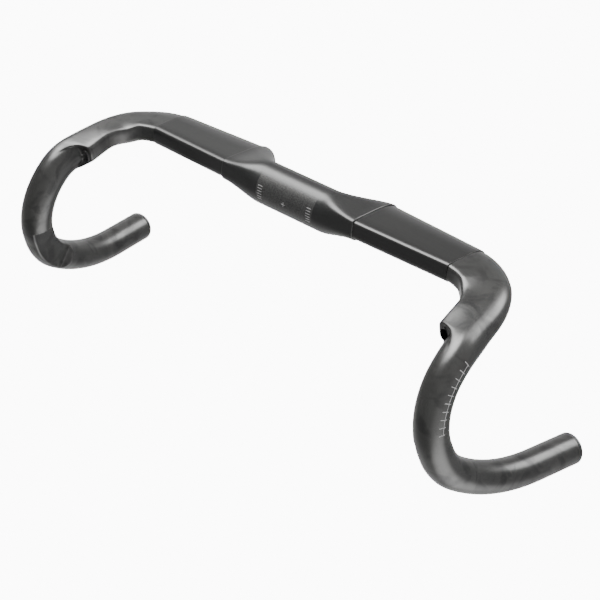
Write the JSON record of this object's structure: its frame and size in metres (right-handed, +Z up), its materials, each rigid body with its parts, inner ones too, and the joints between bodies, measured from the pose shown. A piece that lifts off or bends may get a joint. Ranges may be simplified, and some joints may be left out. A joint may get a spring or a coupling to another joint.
{
  "type": "bicycle drop handlebar",
  "caption": "Carbon aero drop handlebar: round clamp zone, flat wing tops, hooded cable ports, shifter recesses in the hooks and expanding end plugs.",
  "frame": {"origin": "centre of the round stem clamp zone", "axes": "+X towards the rider's left along the clamp zone, -Y forwards, +Z up with the flat tops level and the drop ends horizontal"},
  "size_m": [0.457, 0.1574, 0.1627],
  "materials": {
    "carbon": "unidirectional carbon fibre under a satin clear coat",
    "bonded_carbon": "raw carbon fibre with adhesive",
    "rubber": "matte black rubber",
    "liner_plastic": "smooth polymer tube",
    "cap_plastic": "satin moulded black plastic",
    "alloy": "turned aluminium",
    "steel": "black oxide steel"
  },
  "bodies": {
    "bar": {"centre_section": "carbon", "wing_shell_left": "carbon", "wing_shell_right": "carbon", "drop_left": "carbon", "drop_right": "carbon", "inner_sleeve_left": "bonded_carbon", "inner_sleeve_right": "bonded_carbon", "outer_sleeve_left": "bonded_carbon", "outer_sleeve_right": "bonded_carbon", "cable_port_grommet_left": "rubber", "cable_port_grommet_right": "rubber", "cable_liner_left": "liner_plastic", "cable_liner_right": "liner_plastic", "exit_grommet_left": "rubber", "exit_grommet_right": "rubber"},
    "plug_left": {"plug_cap_left": "cap_plastic", "plug_expander_left": "rubber"},
    "wedge_left": {"plug_wedge_left": "alloy"},
    "screw_left": {"plug_screw_left": "steel"},
    "plug_right": {"plug_cap_right": "cap_plastic", "plug_expander_right": "rubber"},
    "wedge_right": {"plug_wedge_right": "alloy"},
    "screw_right": {"plug_screw_right": "steel"}
  },
  "joints": [
    {"name": "plug_slide_left", "type": "slide", "parent": "bar", "child": "plug_left", "axis": [0.1687, 0.9855, -0.0159], "range_m": [0, 0.035]},
    {"name": "screw_turn_left", "type": "hinge", "parent": "plug_left", "child": "screw_left", "pos_m": [0.2169, 0.0658, -0.1349], "axis": [0.1687, 0.9855, -0.0159], "range_deg": [0, 1801]},
    {"name": "wedge_slide_left", "type": "slide", "parent": "plug_left", "child": "wedge_left", "axis": [-0.1687, -0.9855, 0.0159], "range_m": [0, 0.004]},
    {"name": "plug_slide_right", "type": "slide", "parent": "bar", "child": "plug_right", "axis": [-0.1687, 0.9855, -0.0159], "range_m": [0, 0.035]},
    {"name": "screw_turn_right", "type": "hinge", "parent": "plug_right", "child": "screw_right", "pos_m": [-0.2169, 0.0658, -0.1349], "axis": [-0.1687, 0.9855, -0.0159], "range_deg": [0, 1801]},
    {"name": "wedge_slide_right", "type": "slide", "parent": "plug_right", "child": "wedge_right", "axis": [0.1687, -0.9855, 0.0159], "range_m": [0, 0.004]}
  ],
  "couplings": [
    {"joint": "screw_turn_left", "follows": "wedge_slide_left", "rad_per_m": 7854},
    {"joint": "screw_turn_right", "follows": "wedge_slide_right", "rad_per_m": 7854}
  ]
}
